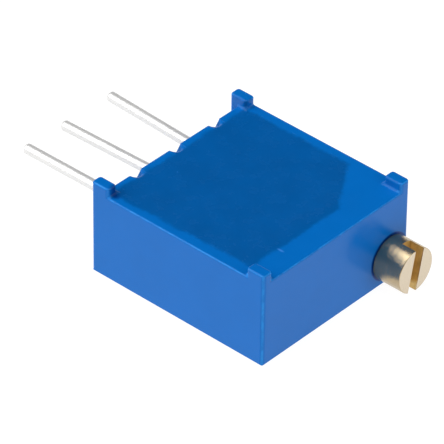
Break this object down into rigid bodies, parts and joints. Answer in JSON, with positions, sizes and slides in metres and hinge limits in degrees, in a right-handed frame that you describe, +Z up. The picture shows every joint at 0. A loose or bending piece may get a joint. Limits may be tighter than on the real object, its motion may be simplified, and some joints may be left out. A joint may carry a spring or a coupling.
{
  "type": "multi-turn trimmer potentiometer",
  "caption": "Square sealed multi-turn trimmer with in-line wire pins on one edge and a slotted brass adjusting screw on the opposite edge.",
  "frame": {"origin": "centre of the large closed face that the case lies on", "axes": "+Z up out of the potted face, +X towards the adjusting screw, with the pins on the -X side, and Y along the case width, with the screw on the +Y side"},
  "size_m": [0.0177, 0.0096, 0.0048],
  "materials": {
    "case_plastic": "satin moulded thermoplastic",
    "potting_epoxy": "cast epoxy, satin",
    "turned_brass": "turned, lightly machined",
    "seal_rubber": "smooth silicone rubber",
    "clip_steel": "stamped strip",
    "drive_polymer": "natural moulded polymer",
    "spring_alloy": "rolled spring strip",
    "ceramic": "fired alumina",
    "resistor_film": "fired cermet ink",
    "conductor_film": "fired silver ink",
    "tinned_wire": "bright tin plate",
    "solder": "smooth fillet"
  },
  "bodies": {
    "case": {"housing": "case_plastic", "potting_resin": "potting_epoxy", "screw_retainer": "clip_steel", "ceramic_substrate": "ceramic", "resistive_track": "resistor_film", "collector_film": "conductor_film", "end_conductor_1": "conductor_film", "end_conductor_3": "conductor_film", "terminal_pin_1": "tinned_wire", "terminal_pin_2": "tinned_wire", "terminal_pin_3": "tinned_wire", "solder_joint_1": "solder", "solder_joint_2": "solder", "solder_joint_3": "solder"},
    "screw": {"adjusting_screw": "turned_brass", "screw_o_ring": "seal_rubber"},
    "wheel": {"worm_wheel": "drive_polymer", "wiper_carrier": "drive_polymer", "clutch_spring": "spring_alloy", "contact_wiper": "spring_alloy"}
  },
  "joints": [
    {"name": "screw_turn", "type": "hinge", "parent": "case", "child": "screw", "pos_m": [0.00502, 0.00353, 0.0013], "axis": [1, 0, 0], "range_deg": [-4500, 4500]},
    {"name": "wheel_turn", "type": "hinge", "parent": "case", "child": "wheel", "pos_m": [-0.00028, 0.00003, 0.0013], "axis": [0, 0, 1], "range_deg": [-150, 150]}
  ],
  "couplings": [
    {"joint": "wheel_turn", "follows": "screw_turn", "ratio": 0.033333}
  ]
}
